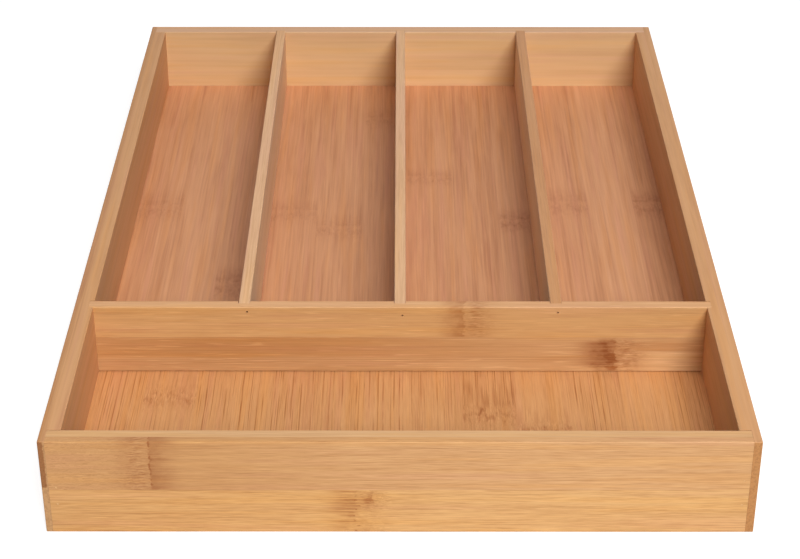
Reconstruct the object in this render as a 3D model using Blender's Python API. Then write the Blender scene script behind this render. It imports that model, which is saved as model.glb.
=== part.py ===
"""A bamboo cutlery tray with five compartments.

Four frame boards meet in rabbeted corners, where a thin lip of each side board covers the
end grain of the front and back boards. A base panel sits in a groove that runs round the
inside of the frame. A cross divider is housed in the side boards. Three long dividers are
housed in the cross divider and in the back board. Fine headless pins hold the glued joints.

Lengths are in metres. +X is right, +Y runs from the front to the back, and +Z is up.
The origin is the middle of the rectangle that the tray stands on.
"""

import math

import bmesh
import bpy
from mathutils import Matrix, Vector

# Outside of the tray
TRAY_WIDTH = 0.310
TRAY_LENGTH = 0.450
TRAY_HEIGHT = 0.048

# Thickness of the stock
SIDE_THICKNESS = 0.009
END_THICKNESS = 0.009
CROSS_THICKNESS = 0.006
LONG_THICKNESS = 0.0055
BASE_THICKNESS = 0.005

# Layout of the compartments
FRONT_BAY_LENGTH = 0.102
BASE_UNDERSIDE_HEIGHT = 0.0066
LONG_DIVIDERS = ("left", "middle", "right")

# Joinery
CORNER_LIP = 0.0035
BASE_GROOVE_DEPTH = 0.004
CROSS_HOUSING_DEPTH = 0.0025
LONG_FRONT_HOUSING_DEPTH = 0.0025
LONG_BACK_HOUSING_DEPTH = 0.003
JOINT_GAP = 0.0003
CUT_OVERRUN = 0.002

# Arrises taken off with sandpaper
EDGE_EASE = 0.0006
PANEL_EASE = 0.0004
EASE_SEGMENTS = 3

# Headless pins
PIN_DIAMETER = 0.0007
PIN_LENGTH = 0.018
PIN_POINT_LENGTH = 0.0012
PIN_SINK = 0.0007
PIN_CLEARANCE = 0.0003
PIN_POINT_RADIUS_SHARE = 0.25
PIN_SIDES = 12

# Heights of the pins as shares of the clear wall above the floor
CORNER_PIN_HEIGHT_SHARES = {
    ("front", "left"): (0.10, 0.34),
    ("front", "right"): (0.09, 0.44),
    ("back", "left"): (0.10, 0.40),
    ("back", "right"): (0.10, 0.40),
}
CROSS_PIN_HEIGHT_SHARES = (0.25, 0.75)
LONG_FRONT_PIN_HEIGHT_SHARES = (0.93, 0.875, 0.92)
LONG_BACK_PIN_HEIGHT_SHARE = 0.9

# Sideways slips of the pins off the divider's middle as shares of its thickness
LONG_FRONT_PIN_SLIP_SHARES = (0.27, 0.20, 0.13)

# Looks: display colour, roughness and metallic value
SIDE_LOOK = ((0.80, 0.60, 0.44), 0.55, 0.0)
END_LOOK = ((0.86, 0.65, 0.45), 0.55, 0.0)
CROSS_LOOK = ((0.82, 0.59, 0.39), 0.55, 0.0)
LONG_LOOK = ((0.85, 0.68, 0.52), 0.55, 0.0)
BASE_LOOK = ((0.78, 0.56, 0.40), 0.60, 0.0)
PIN_LOOK = ((0.45, 0.42, 0.40), 0.35, 1.0)

# Places that follow from the sizes above
HALF_WIDTH = TRAY_WIDTH / 2
FRONT_Y = -TRAY_LENGTH / 2
BACK_Y = TRAY_LENGTH / 2
INNER_X = HALF_WIDTH - SIDE_THICKNESS
INNER_FRONT_Y = FRONT_Y + END_THICKNESS
INNER_BACK_Y = BACK_Y - END_THICKNESS
LIP_X = HALF_WIDTH - CORNER_LIP
FLOOR_Z = BASE_UNDERSIDE_HEIGHT + BASE_THICKNESS
BASE_MIDDLE_Z = BASE_UNDERSIDE_HEIGHT + BASE_THICKNESS / 2
CROSS_FRONT_Y = INNER_FRONT_Y + FRONT_BAY_LENGTH
CROSS_BACK_Y = CROSS_FRONT_Y + CROSS_THICKNESS
WALL_HEIGHT = TRAY_HEIGHT - FLOOR_Z

SIDES = {"left": -1, "right": 1}


def clear_scene():
    for item in list(bpy.data.objects):
        bpy.data.objects.remove(item, do_unlink=True)


def linear(colour):
    """Turn a display colour into the linear values that a shader takes."""
    return tuple(((part + 0.055) / 1.055) ** 2.4 if part > 0.04045 else part / 12.92 for part in colour)


def add_material(name, look):
    colour, roughness, metallic = look
    material = bpy.data.materials.new(name)
    material.use_nodes = True
    shader = material.node_tree.nodes["Principled BSDF"]
    shader.inputs["Base Color"].default_value = (*linear(colour), 1.0)
    shader.inputs["Roughness"].default_value = roughness
    shader.inputs["Metallic"].default_value = metallic
    return material


def add_object(name, mesh_builder, parent, location=(0, 0, 0)):
    """Turn a bmesh into a named object under its parent."""
    mesh = bpy.data.meshes.new(name)
    bmesh.ops.recalc_face_normals(mesh_builder, faces=mesh_builder.faces)
    mesh_builder.to_mesh(mesh)
    mesh_builder.free()
    item = bpy.data.objects.new(name, mesh)
    item.location = location
    item.parent = parent
    bpy.context.collection.objects.link(item)
    return item


def add_block(mesh_builder, low, high):
    """Add a block between two opposite corners and return its edges."""
    low = Vector(low)
    high = Vector(high)
    place = Matrix.Translation((low + high) / 2) @ Matrix.Diagonal((*(high - low), 1))
    corners = bmesh.ops.create_cube(mesh_builder, size=1, matrix=place)["verts"]
    return list({edge for corner in corners for edge in corner.link_edges})


def runs_along(edge, axes):
    """Tell whether an edge of a block runs along one of the named axes."""
    step = edge.verts[1].co - edge.verts[0].co
    return any(abs(step["XYZ".index(axis)]) > step.length / 2 for axis in axes)


def add_board(name, low, high, eased_axes, ease, look, tray):
    """A planed board between two opposite corners, with the arrises along some axes eased."""
    low = Vector(low)
    high = Vector(high)
    middle = (low + high) / 2
    mesh_builder = bmesh.new()
    edges = add_block(mesh_builder, low - middle, high - middle)
    eased = [edge for edge in edges if runs_along(edge, eased_axes)]
    bmesh.ops.bevel(mesh_builder, geom=eased, offset=ease, segments=EASE_SEGMENTS, profile=0.5,
                    affect="EDGES", clamp_overlap=True)
    board = add_object(name, mesh_builder, tray, middle)
    board.data.materials.append(add_material(name, look))
    return board


def cut(board, label, mesh_builder, tray):
    """Cut a set of solids, drawn in the tray's own frame, out of a board."""
    cutter = add_object(f"{board.name}_{label}_cutter", mesh_builder, tray)
    cutter.hide_render = True
    cutter.display_type = "WIRE"
    modifier = board.modifiers.new(label, "BOOLEAN")
    modifier.operation = "DIFFERENCE"
    modifier.solver = "EXACT"
    modifier.object = cutter


def cut_blocks(board, label, blocks, tray):
    mesh_builder = bmesh.new()
    for low, high in blocks:
        add_block(mesh_builder, low, high)
    cut(board, label, mesh_builder, tray)


def mirrored_block(side, near_x, far_x, low_yz, high_yz):
    """A block on the left or right, given by its distances from the middle plane."""
    ends = sorted((SIDES[side] * near_x, SIDES[side] * far_x))
    return (ends[0], *low_yz), (ends[1], *high_yz)


def long_divider_places():
    """Middle of each long divider, so that the rear compartments are all as wide."""
    count = len(LONG_DIVIDERS)
    bay_width = (2 * INNER_X - count * LONG_THICKNESS) / (count + 1)
    pitch = bay_width + LONG_THICKNESS
    return {name: (place - (count - 1) / 2) * pitch for place, name in enumerate(LONG_DIVIDERS)}


def base_groove_heights():
    return BASE_UNDERSIDE_HEIGHT - JOINT_GAP, FLOOR_Z + JOINT_GAP


def add_side_board(side, tray):
    """A side board: base groove, end rabbets for the front and back, housing for the cross."""
    low, high = mirrored_block(side, INNER_X, HALF_WIDTH, (FRONT_Y, 0), (BACK_Y, TRAY_HEIGHT))
    board = add_board(f"{side}_side_board", low, high, "XYZ", EDGE_EASE, SIDE_LOOK, tray)

    groove_low, groove_high = base_groove_heights()
    groove_front = FRONT_Y + END_THICKNESS / 2
    groove = mirrored_block(side, INNER_X - CUT_OVERRUN, INNER_X + BASE_GROOVE_DEPTH,
                            (groove_front, groove_low), (-groove_front, groove_high))
    cut_blocks(board, "base_groove", [groove], tray)

    above = TRAY_HEIGHT + CUT_OVERRUN
    front_rabbet = mirrored_block(side, INNER_X - CUT_OVERRUN, LIP_X,
                                  (FRONT_Y - CUT_OVERRUN, -CUT_OVERRUN), (INNER_FRONT_Y + JOINT_GAP, above))
    back_rabbet = mirrored_block(side, INNER_X - CUT_OVERRUN, LIP_X,
                                 (INNER_BACK_Y - JOINT_GAP, -CUT_OVERRUN), (BACK_Y + CUT_OVERRUN, above))
    housing = mirrored_block(side, INNER_X - CUT_OVERRUN, INNER_X + CROSS_HOUSING_DEPTH,
                             (CROSS_FRONT_Y - JOINT_GAP, BASE_MIDDLE_Z), (CROSS_BACK_Y + JOINT_GAP, above))
    cut_blocks(board, "rabbets_and_housing", [front_rabbet, back_rabbet, housing], tray)
    return board


def end_board_span():
    """Half the length of the front and back boards, which fit between the lips."""
    return LIP_X - JOINT_GAP


def add_front_board(tray):
    """The front board, with a groove for the base panel along its inner face."""
    span = end_board_span()
    board = add_board("front_board", (-span, FRONT_Y, 0), (span, INNER_FRONT_Y, TRAY_HEIGHT),
                      "X", EDGE_EASE, END_LOOK, tray)
    groove_low, groove_high = base_groove_heights()
    groove = ((-HALF_WIDTH, INNER_FRONT_Y - BASE_GROOVE_DEPTH, groove_low),
              (HALF_WIDTH, INNER_FRONT_Y + CUT_OVERRUN, groove_high))
    cut_blocks(board, "base_groove", [groove], tray)
    return board


def add_back_board(tray):
    """The back board, with the base groove and a housing for the end of each long divider."""
    span = end_board_span()
    board = add_board("back_board", (-span, INNER_BACK_Y, 0), (span, BACK_Y, TRAY_HEIGHT),
                      "X", EDGE_EASE, END_LOOK, tray)
    groove_low, groove_high = base_groove_heights()
    groove = ((-HALF_WIDTH, INNER_BACK_Y - CUT_OVERRUN, groove_low),
              (HALF_WIDTH, INNER_BACK_Y + BASE_GROOVE_DEPTH, groove_high))
    cut_blocks(board, "base_groove", [groove], tray)

    housings = long_housings(INNER_BACK_Y - CUT_OVERRUN, INNER_BACK_Y + LONG_BACK_HOUSING_DEPTH)
    cut_blocks(board, "housings", housings, tray)
    return board


def long_housings(low_y, high_y):
    """Upright slots for the ends of the long dividers, open at the top."""
    half_slot = LONG_THICKNESS / 2 + JOINT_GAP
    return [((middle - half_slot, low_y, BASE_MIDDLE_Z), (middle + half_slot, high_y, TRAY_HEIGHT + CUT_OVERRUN))
            for middle in long_divider_places().values()]


def add_base_panel(tray):
    """The floor of all five compartments, held in the grooves of the frame."""
    reach = BASE_GROOVE_DEPTH - JOINT_GAP
    low = (-INNER_X - reach, INNER_FRONT_Y - reach, BASE_UNDERSIDE_HEIGHT)
    high = (INNER_X + reach, INNER_BACK_Y + reach, FLOOR_Z)
    return add_board("base_panel", low, high, "XY", PANEL_EASE, BASE_LOOK, tray)


def add_cross_divider(tray):
    """The wall between the front compartment and the rear ones, slotted behind."""
    span = INNER_X + CROSS_HOUSING_DEPTH - JOINT_GAP
    board = add_board("cross_divider", (-span, CROSS_FRONT_Y, FLOOR_Z + JOINT_GAP),
                      (span, CROSS_BACK_Y, TRAY_HEIGHT), "X", EDGE_EASE, CROSS_LOOK, tray)
    housings = long_housings(CROSS_BACK_Y - LONG_FRONT_HOUSING_DEPTH, CROSS_BACK_Y + CUT_OVERRUN)
    cut_blocks(board, "housings", housings, tray)
    return board


def add_long_divider(name, middle, tray):
    """A wall between two rear compartments, from the cross divider to the back board."""
    half = LONG_THICKNESS / 2
    front = CROSS_BACK_Y - LONG_FRONT_HOUSING_DEPTH + JOINT_GAP
    back = INNER_BACK_Y + LONG_BACK_HOUSING_DEPTH - JOINT_GAP
    return add_board(f"{name}_long_divider", (middle - half, front, FLOOR_Z + JOINT_GAP),
                     (middle + half, back, TRAY_HEIGHT), "Y", EDGE_EASE, LONG_LOOK, tray)


def pin_height(share):
    return FLOOR_Z + share * WALL_HEIGHT


def corner_pins():
    """Pins through the front and back boards into the thick part of the side boards."""
    across = (INNER_X + LIP_X) / 2
    faces = {"front": (FRONT_Y, 1), "back": (BACK_Y, -1)}
    for (end, side), shares in CORNER_PIN_HEIGHT_SHARES.items():
        face_y, inward = faces[end]
        for level, share in zip(("lower", "upper"), shares):
            yield {
                "name": f"{end}_{side}_{level}_pin",
                "entry": Vector((SIDES[side] * across, face_y, pin_height(share))),
                "direction": Vector((0, inward, 0)),
                "boards": (f"{end}_board", f"{side}_side_board"),
            }


def cross_pins():
    """Pins through the side boards into the ends of the cross divider."""
    for side, sign in SIDES.items():
        for level, share in zip(("lower", "upper"), CROSS_PIN_HEIGHT_SHARES):
            yield {
                "name": f"cross_{side}_{level}_pin",
                "entry": Vector((sign * HALF_WIDTH, (CROSS_FRONT_Y + CROSS_BACK_Y) / 2, pin_height(share))),
                "direction": Vector((-sign, 0, 0)),
                "boards": (f"{side}_side_board", "cross_divider"),
            }


def long_pins():
    """Pins into both ends of each long divider, the front ones as they were set by eye."""
    fronts = zip(long_divider_places().items(), LONG_FRONT_PIN_SLIP_SHARES, LONG_FRONT_PIN_HEIGHT_SHARES)
    for (name, middle), slip, share in fronts:
        yield {
            "name": f"{name}_long_front_pin",
            "entry": Vector((middle + slip * LONG_THICKNESS, CROSS_FRONT_Y, pin_height(share))),
            "direction": Vector((0, 1, 0)),
            "boards": ("cross_divider", f"{name}_long_divider"),
        }
        yield {
            "name": f"{name}_long_back_pin",
            "entry": Vector((middle, BACK_Y, pin_height(LONG_BACK_PIN_HEIGHT_SHARE))),
            "direction": Vector((0, -1, 0)),
            "boards": ("back_board", f"{name}_long_divider"),
        }


def turned_solid(mesh_builder, stations, place):
    """Add a round solid from its radii at distances along an axis, ends closed."""
    rings = []
    for distance, radius in stations:
        ring = []
        for step in range(PIN_SIDES):
            angle = 2 * math.pi * step / PIN_SIDES
            point = Vector((radius * math.cos(angle), radius * math.sin(angle), distance))
            ring.append(mesh_builder.verts.new(place @ point))
        rings.append(ring)
    for lower, upper in zip(rings, rings[1:]):
        for step in range(PIN_SIDES):
            after = (step + 1) % PIN_SIDES
            mesh_builder.faces.new((lower[step], lower[after], upper[after], upper[step]))
    mesh_builder.faces.new(tuple(reversed(rings[0])))
    mesh_builder.faces.new(tuple(rings[-1]))


def facing(direction):
    """The turn that lays the local Z axis along a direction."""
    return direction.to_track_quat("Z", "Y").to_matrix().to_4x4()


def add_pin(pin, tray):
    """A headless pin, driven just under the surface, with a blunt point."""
    radius = PIN_DIAMETER / 2
    stations = [
        (0, radius),
        (PIN_LENGTH - PIN_POINT_LENGTH, radius),
        (PIN_LENGTH, radius * PIN_POINT_RADIUS_SHARE),
    ]
    mesh_builder = bmesh.new()
    turned_solid(mesh_builder, stations, Matrix.Identity(4))
    item = add_object(pin["name"], mesh_builder, tray, pin["entry"] + pin["direction"] * PIN_SINK)
    item.rotation_mode = "QUATERNION"
    item.rotation_quaternion = facing(pin["direction"]).to_quaternion()
    item.data.shade_smooth()
    item.data.set_sharp_from_angle(angle=math.radians(40))
    item.data.materials.append(add_material(pin["name"], PIN_LOOK))
    return item


def drill(board, pins, tray):
    """Drill a board for every pin that passes through it."""
    mesh_builder = bmesh.new()
    radius = PIN_DIAMETER / 2 + PIN_CLEARANCE
    depth = PIN_SINK + PIN_LENGTH + PIN_CLEARANCE
    for pin in pins:
        place = Matrix.Translation(pin["entry"]) @ facing(pin["direction"])
        turned_solid(mesh_builder, [(-CUT_OVERRUN, radius), (depth, radius)], place)
    cut(board, "pin_holes", mesh_builder, tray)


def build_tray():
    clear_scene()
    tray = bpy.data.objects.new("cutlery_tray", None)
    bpy.context.collection.objects.link(tray)

    boards = [add_side_board(side, tray) for side in SIDES]
    boards.append(add_front_board(tray))
    boards.append(add_back_board(tray))
    add_base_panel(tray)
    boards.append(add_cross_divider(tray))
    for name, middle in long_divider_places().items():
        boards.append(add_long_divider(name, middle, tray))

    pins = [*corner_pins(), *cross_pins(), *long_pins()]
    for pin in pins:
        add_pin(pin, tray)
    for board in boards:
        drill(board, [pin for pin in pins if board.name in pin["boards"]], tray)


build_tray()
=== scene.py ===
"""The looks of a bamboo cutlery tray, dressed over its construction model.

Each board of the model is replaced by a planed board with sanded arrises and close joints.
A board is glued up from staves. Each stave has its own bamboo: fibres along the grain, the
nodes of the cane across it, and cut bundles on its ends.

Lengths are in metres. +X is right, +Y runs from the front to the back, and +Z is up.
"""

import math
from collections import namedtuple

import bmesh
import bpy
from mathutils import Matrix, Vector, noise


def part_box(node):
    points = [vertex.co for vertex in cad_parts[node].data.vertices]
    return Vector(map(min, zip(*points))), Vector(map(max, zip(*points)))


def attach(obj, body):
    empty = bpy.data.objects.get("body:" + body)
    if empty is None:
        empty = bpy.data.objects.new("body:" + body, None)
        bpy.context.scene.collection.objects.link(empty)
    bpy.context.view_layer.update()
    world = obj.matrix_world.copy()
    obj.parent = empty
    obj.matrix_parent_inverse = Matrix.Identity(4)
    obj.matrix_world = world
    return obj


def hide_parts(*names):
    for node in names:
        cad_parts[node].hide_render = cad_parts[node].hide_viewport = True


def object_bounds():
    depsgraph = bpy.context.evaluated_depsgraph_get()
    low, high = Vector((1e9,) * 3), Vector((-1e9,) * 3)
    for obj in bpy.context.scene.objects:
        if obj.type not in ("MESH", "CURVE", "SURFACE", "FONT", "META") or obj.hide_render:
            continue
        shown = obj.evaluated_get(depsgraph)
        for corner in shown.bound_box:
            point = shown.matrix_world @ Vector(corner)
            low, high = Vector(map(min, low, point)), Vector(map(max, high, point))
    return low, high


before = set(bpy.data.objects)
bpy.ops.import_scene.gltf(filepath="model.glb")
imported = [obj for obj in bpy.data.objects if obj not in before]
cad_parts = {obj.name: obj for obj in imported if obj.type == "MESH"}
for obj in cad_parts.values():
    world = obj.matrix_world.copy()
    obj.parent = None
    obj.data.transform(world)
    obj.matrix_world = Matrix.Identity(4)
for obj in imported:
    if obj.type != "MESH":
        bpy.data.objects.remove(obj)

cad_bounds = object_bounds()

MM = 0.001
X, Y, Z = range(3)
ROOT = "root"

# Camera at the photograph's angle
CAMERA_PLACE = Vector((0.00076, -0.90915, 0.52905))
CAMERA_PITCH = math.radians(30.353)
CAMERA_YAW = math.radians(0.0565)
CAMERA_LENS = 87.977
CAMERA_SENSOR = 36.0
CAMERA_NEAR, CAMERA_FAR = 0.01, 50.0

# Joints as they show on the glued tray
TIGHT = 0.02 * MM
FLOOR_SEAM = 0.10 * MM
DIVIDER_NOTCH = 0.16 * MM
CUT_OVERRUN = 2 * MM
LIP = {"left": 3 * MM, "right": 3.7 * MM}
SIDES = {"left": -1, "right": 1}
LONG_DIVIDERS = ("left", "middle", "right")

# Glue lines: how high each board's is, and how deep the facing layer of an end board is
SIDE_SEAM_HEIGHT = 24 * MM
FRONT_SEAM_HEIGHT = 22.8 * MM
BACK_SEAM_HEIGHT = 22.7 * MM
CROSS_SEAM_HEIGHT = 31.35 * MM
FACING_LAYER = 3.9 * MM

# Sanded arrises
EASE = 0.42 * MM
PANEL_EASE = 0.4 * MM
END_EASE = 0.45 * MM
BUTT_EASE = 0.08 * MM
LEAST_EASE_SHARE = 0.15
CORNER_STEPS = 4
STATION_STEP = 6 * MM
SHARP_ANGLE = math.radians(35)

# Uneven wear of the arrises, for which each board has its own part of the noise
WEAR_SHARE = 0.35
WEAR_LENGTH = 28 * MM
WEAR_START, WEAR_STEP = 1.0, 4.0
WEAR_CORNER_STEP = 3.7
WEAR_ORDER = ("left_side_board", "right_side_board", "front_board", "back_board", "cross_divider",
              "left_long_divider", "middle_long_divider", "right_long_divider", "base_panel")

# Pin holes and their filler
HOLE_RADIUS = 0.53 * MM
HOLE_SIDES = 20
FILLER_RADIUS = 0.50 * MM
FILLER_CROWN = 0.05 * MM
FILLER_RINGS = 4

Figure = namedtuple("Figure", "along across draw detail", defaults=(2.0,))
Look = namedtuple("Look", "coarse band fibre fine thread line fleck")
Marks = namedtuple("Marks", "jag rag mottle scar stain trail halo wrinkle arcs pits", defaults=(0.0,) * 10)
Knuckle = namedtuple("Knuckle", "along across reach soft fades size marks")
Patch = namedtuple("Patch", "along across length width tint strength")
Strips = namedtuple("Strips", "width start shade_seed comb_seed")
Stave = namedtuple("Stave", "name tone top end look knuckles patches rim verge",
                   defaults=((), (), None, None))
Rim = namedtuple("Rim", "place soft rag tone")
Verge = namedtuple("Verge", "outer inner tint")
Stuff = namedtuple("Stuff", "name tone dark grain along across draw metallic rough strength relief")
Lamp = namedtuple("Lamp", "name place size power")

# Bamboo: how far each kind of streak runs along and across the grain, and its draw from the noise
WANDER = Figure(60 * MM, 12 * MM, 0)
BAND = Figure(120 * MM, 3.4 * MM, 11)
FIBRE = Figure(26 * MM, 0.62 * MM, 12)
FINE = Figure(9 * MM, 0.26 * MM, 13)
HUE = Figure(130 * MM, 5 * MM, 15)
FLECK = Figure(16 * MM, 0.50 * MM, 16, 1.0)
END_BAND = Figure(120 * MM, 1.2 * MM, 17)
FAINT = Figure(30 * MM, 1.6 * MM, 18)
CLOUD = Figure(38 * MM, 10 * MM, 19)
RIM_RAG = Figure(2.6 * MM, 1.3 * MM, 20)
STREAK_ROUGHNESS = 0.55
SHIFT_SHARES = (1.0, 0.7, -1.3)
SEED_START, SEED_STEP, SEED_COUNT = 7.0, 3.1, 97

# Bamboo: how far its fibres wander, its straight threads and lines, and other strengths
WANDER_REACH = 0.70 * MM
THREAD_SPACING, THREAD_DRAW, THREAD_DETAIL = 0.55 * MM, 0, 2.0
LINE_SPACING, LINE_DRAW, LINE_DETAIL = 0.85 * MM, 1, 0.0
SLANT = 0.8
CLOUD_GAIN = 0.16
STRIP_SHADE = 0.16
COMB_LEAST, COMB_MOST = 0.3, 1.7
TINT_GAIN = 2.0
BUNDLE_SPACING = 0.65 * MM
BUNDLE_SHARE, END_BAND_SHARE = 0.3, 0.35

# Bamboo: the patterns at a node of the cane, in the same terms
JAG = Figure(60 * MM, 3 * MM, 2, 3.0)
BROKEN = Figure(6 * MM, 3 * MM, 3)
TRAIL = Figure(30 * MM, 1.1 * MM, 5, 1.0)
SWIRL = Figure(5 * MM, 2.2 * MM, 6)
WRINKLE = Figure(4.4 * MM, 0.44 * MM, 7, 1.0)
BLOTCH = Figure(5 * MM, 2.8 * MM, 8)
WAVE = Figure(4 * MM, 4 * MM, 9, 1.0)
RAG = Figure(2.6 * MM, 1.3 * MM, 10)

# Bamboo: the marks at a node of ordinary size. Places run the way that its stain fades
SCAR_WIDTH = 0.34 * MM
STAIN_NEAR, STAIN_FAR = 3 * MM, 15 * MM
TRAIL_LEAD, TRAIL_LENGTH, TRAIL_FADE = 3 * MM, 17 * MM, 6 * MM
HALO_PLACE, HALO_LENGTH = -6 * MM, 8 * MM
WRINKLE_PLACE, WRINKLE_LENGTH = -5.5 * MM, 4.2 * MM
# Share of painted shade that the wrinkles' folds add to the stain; the wrinkles have no relief
WRINKLE_SHADE_SHARE = 0.6
CURL_REACH = 2 * MM
ARC_PLACE, ARC_WAVE, ARC_STRAY = -6 * MM, 1.6 * MM, 5 * MM
ARC_SPACING, ARC_WIDTH = 3.7 * MM, 0.95 * MM
ARC_LOWEST, ARC_HIGHEST, ARC_BOW = 2.28 * MM, 5.32 * MM, 4.0
ARC_FAINTEST, ARC_BOLDEST, ARC_DRAW = 0.4, 1.2, 0.5
PIT_SPACING, PIT_RADIUS, PIT_STRAY = 2.7 * MM, 0.30 * MM, 1.3 * MM
PIT_FIRST, PIT_LAST, PIT_STRETCH = 0.25, 0.75, 1.5
PIT_FAINTEST, PIT_BOLDEST, PIT_DRAW = 0.5, 1.2, 0.0
LINE_REST, LINE_REST_SHARE = 12 * MM, 0.8

# Soft steps: the value at which each one is 0, then the value at which it is 1
BROKEN_STEP = (0.38, 0.62)
BLOTCH_STEP = (0.36, 0.64)
TRAIL_STEP = (0.44, 0.62)
# Where the wrinkles get painted shade, then where they get painted highlights
WRINKLE_SHADE_STEP = (0.46, 0.34)
WRINKLE_HIGHLIGHT_STEP = (0.52, 0.64)
LINE_STEP = (0.54, 0.70)
FAINT_STEP = (0.36, 0.62)
FLECK_STEP = (0.60, 0.74)
GOLD_STEP = (0.48, 0.34)
ROSE_STEP = (0.52, 0.66)
TOP_STEP = (0.55, 0.80)
END_STEP = (0.55, 0.85)
BUNDLE_STEP = (0.45, 0.15)
END_BAND_STEP = (0.42, 0.66)

# Tinted patches: their edge, in shares of their width, and how uneven they are
PATCH_EDGE = (1.2, 0.8)
PATCH_LEAST, PATCH_MOST = 0.4, 1.6

# Sheen and relief of the lacquered bamboo
SMOOTHEST, ROUGHEST = 0.42, 0.64
SHEEN = 0.35
GRAIN_RELIEF, GRAIN_STRENGTH = 0.03 * MM, 0.6
FIBRE_HEIGHT, FINE_HEIGHT, LINE_HEIGHT = 0.7, 0.5, -0.5

# Tints that the marks lay over the bamboo's own tone. The stain tint also lays painted shade, and the
# wrinkle tint is a painted highlight
DEEP_TINT = (0.62, 0.47, 0.33)
PALE_TINT = (1.25, 1.38, 1.52)
STAIN_AND_SHADE_TINT = (0.56, 0.36, 0.235)
WRINKLE_HIGHLIGHT_TINT = (1.16, 1.26, 1.40)
GOLD_TINT = (1.02, 0.99, 0.90)
ROSE_TINT = (0.99, 0.96, 1.02)
BUNDLE_TINT = (0.50, 0.42, 0.34)

# How coarse the fine streaks are and how strong each kind is, in the order of Look's fields
FACE_LOOK = Look(1.0, 0.30, 0.58, 0.80, 0.28, 0.08, 0.14)
FACE_LOW_LOOK = Look(1.0, 0.50, 0.60, 0.92, 0.28, 0.14, 0.22)
EDGE_LOOK = Look(1.0, 0.40, 0.50, 0.25, 0.14, 0.06, 0.10)
CROSS_LOOK = Look(1.0, 0.25, 0.42, 0.22, 0.14, 0.05, 0.28)
CROSS_LOW_LOOK = Look(1.2, 0.36, 0.36, 0.28, 0.42, 0.06, 0.40)
WALL_LOOK = Look(1.6, 0.50, 0.26, 0.10, 0.06, 0.03, 0.05)
BACK_LOOK = Look(2.4, 0.36, 0.08, 0.03, 0.02, 0.00, 0.02)
FLOOR_LOOK = Look(1.0, 0.25, 0.46, 0.38, 0.30, 0.37, 0.12)
REAR_FLOOR_LOOK = Look(1.9, 0.66, 0.56, 0.14, 0.20, 0.08, 0.08)

# Marks at the nodes. Jag and rag are lengths, and the rest are strengths
FACE_MARKS = Marks(jag=2 * MM, rag=1 * MM, mottle=0.35, scar=0.9, stain=0.34, trail=0.16,
                   halo=0.32, wrinkle=0.95, pits=0.30)
CALM_MARKS = Marks()
PITTED_MARKS = Marks(jag=5 * MM, rag=3 * MM, mottle=0.8, stain=0.12, trail=0.50, halo=0.15,
                     wrinkle=0.35, pits=0.95)
STREAKED_MARKS = Marks(jag=4 * MM, rag=1 * MM, mottle=0.8, scar=0.10, stain=0.30, trail=0.45)
OUTER_MARKS = Marks(jag=3 * MM, rag=2 * MM, mottle=0.4, scar=0.6, stain=0.34, trail=0.25,
                    halo=0.30, wrinkle=0.80, pits=0.30)
CROSS_MARKS = Marks(jag=4 * MM, rag=4 * MM, mottle=0.4, scar=0.10, stain=0.36, trail=0.10,
                    halo=0.36, wrinkle=0.60, pits=0.20)
CROSS_LOW_MARKS = Marks(jag=7 * MM, rag=8 * MM, mottle=0.9, scar=0.30, stain=0.54, trail=0.30,
                        halo=0.32, wrinkle=0.75, pits=0.30)
STRONG_MARKS = Marks(jag=5 * MM, rag=3 * MM, mottle=0.8, trail=0.46, halo=0.10, wrinkle=0.35, arcs=0.62)
SOFT_MARKS = Marks(jag=7 * MM, rag=4 * MM, mottle=0.8, trail=0.20, halo=0.14, wrinkle=0.55, arcs=0.45)
FAINT_MARKS = Marks(jag=5 * MM, rag=4 * MM, mottle=0.8, stain=0.10, trail=0.15, halo=0.14,
                    wrinkle=0.15, arcs=0.18)
# Darker node marks of real stain; where a node lies beside a divider's shaded side they also paint that
# shade
DARK_MARKS = Marks(jag=6 * MM, rag=5 * MM, mottle=0.8, stain=0.22, trail=0.15, halo=0.26,
                   wrinkle=0.15, arcs=0.22)

# Display colours of the bamboo
FACE_TONE = (0.798, 0.602, 0.404)
FACE_GOLD_TONE = (0.821, 0.626, 0.402)
FACE_TOP_TONE = (0.854, 0.648, 0.441)
FRONT_TOP_TONE = (0.869, 0.680, 0.483)
SIDE_TOP_TONE = (0.839, 0.622, 0.427)
WALL_TONE = (0.809, 0.608, 0.427)
CROSS_TONE = (0.829, 0.638, 0.423)
CROSS_TOP_TONE = (0.885, 0.670, 0.472)
CROSS_LOW_TONE = (0.796, 0.611, 0.421)
BACK_TONE = (0.858, 0.702, 0.513)
BACK_TOP_TONE = (0.876, 0.686, 0.529)
LONG_TONE = (0.878, 0.728, 0.580)
LONG_TOP_TONE = (0.904, 0.712, 0.538)
LONG_DARK_TONE = (0.802, 0.577, 0.390)
BASE_TONE = (0.810, 0.576, 0.408)
BASE_FRONT_TONE = (0.825, 0.598, 0.390)
END_TONE = (0.720, 0.510, 0.330)
DARK_END_TONE = (0.592, 0.384, 0.208)
TAN_END_TONE = (0.755, 0.572, 0.382)
ORANGE_END_TONE = (0.727, 0.508, 0.296)
PALE_END_TONE = (0.740, 0.550, 0.360)

# Dull drawn wire, and pale filler that was pressed in and sanded
WIRE = Stuff("pin_steel_wire", (0.340, 0.255, 0.180), (0.238, 0.16575, 0.108), Z, 0.5 * MM, 0.3 * MM, 3.0,
             1.0, 0.3, 0.4, 0.01 * MM)
PUTTY = Stuff("pin_filler_putty", (0.880, 0.700, 0.480), (0.748, 0.560, 0.3456), X, 0.4 * MM, 0.3 * MM, 5.0,
              0.0, 0.55, 0.5, 0.02 * MM)
STUFF_DETAIL = 3.0
STUFF_ROUGH_RANGE = 0.3

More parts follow.
